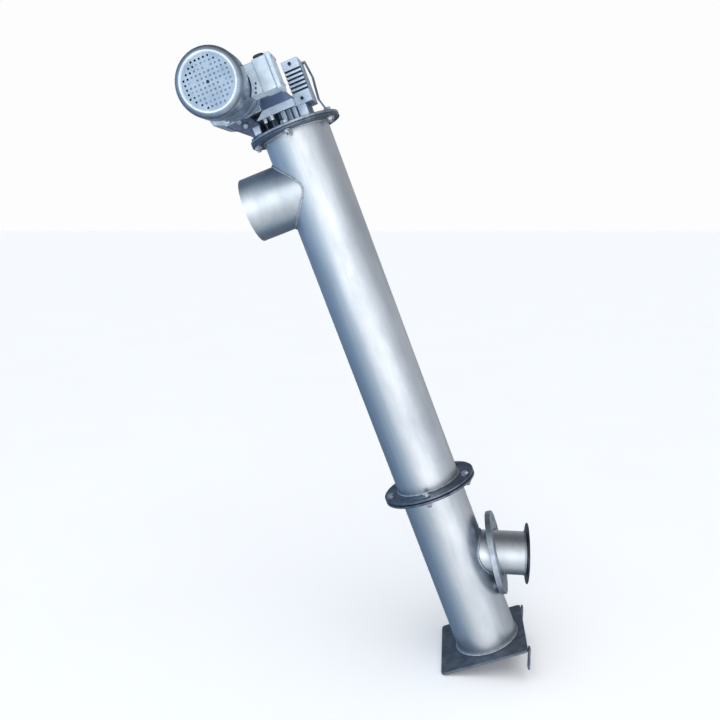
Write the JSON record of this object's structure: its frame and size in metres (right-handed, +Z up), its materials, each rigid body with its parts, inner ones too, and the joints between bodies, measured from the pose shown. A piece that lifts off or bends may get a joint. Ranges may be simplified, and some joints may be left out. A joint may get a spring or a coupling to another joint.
{
  "type": "archimedes screw pump",
  "caption": "Archimedes screw pump in a leaning steel tube, with a level flanged inlet branch, a short discharge spout, a welded base plate and a geared motor on top.",
  "frame": {"origin": "point on the tube's axis at the underside of the base plate", "axes": "+Z up; the tube leans 20.7 degrees from +Z towards -X; the level inlet branch points to +X; the motor's fan cover faces -Y"},
  "size_m": [0.8144, 0.4588, 1.5634],
  "materials": {
    "tube_steel": "satin stainless, pickled, bluish silver",
    "flange_steel": "dull grey steel",
    "dark_steel": "dark blue-grey, satin",
    "screw_steel": "plain steel",
    "bearing_iron": "cast, matt",
    "gasket_rubber": "matt black",
    "drive_paint": "silver-grey paint on cast aluminium, satin",
    "box_paint": "pale grey paint, satin",
    "black_plastic": "matt black"
  },
  "bodies": {
    "root": {"base_plate": "dark_steel", "front_leg": "dark_steel", "rear_leg": "dark_steel", "lower_tube": "tube_steel", "upper_tube": "tube_steel", "discharge_spout": "tube_steel", "inlet_pipe": "tube_steel", "lower_tube_flange": "flange_steel", "upper_tube_flange": "flange_steel", "top_flange": "flange_steel", "drive_plate": "flange_steel", "inlet_collar": "flange_steel", "loose_flange": "flange_steel", "flange_gasket": "gasket_rubber", "screw_shaft": "screw_steel", "screw_flight": "screw_steel", "bottom_bearing": "bearing_iron", "spigot": "drive_paint", "output_flange": "drive_paint", "gear_case": "drive_paint", "gear_case_cover": "drive_paint", "ribbed_block": "drive_paint", "side_strap": "flange_steel", "motor_flange": "drive_paint", "motor_end_shield": "drive_paint", "motor_body": "drive_paint", "fan_cover": "drive_paint", "terminal_box_neck": "box_paint", "terminal_box": "box_paint", "terminal_box_lid": "box_paint", "cable_gland": "black_plastic"}
  },
  "joints": []
}
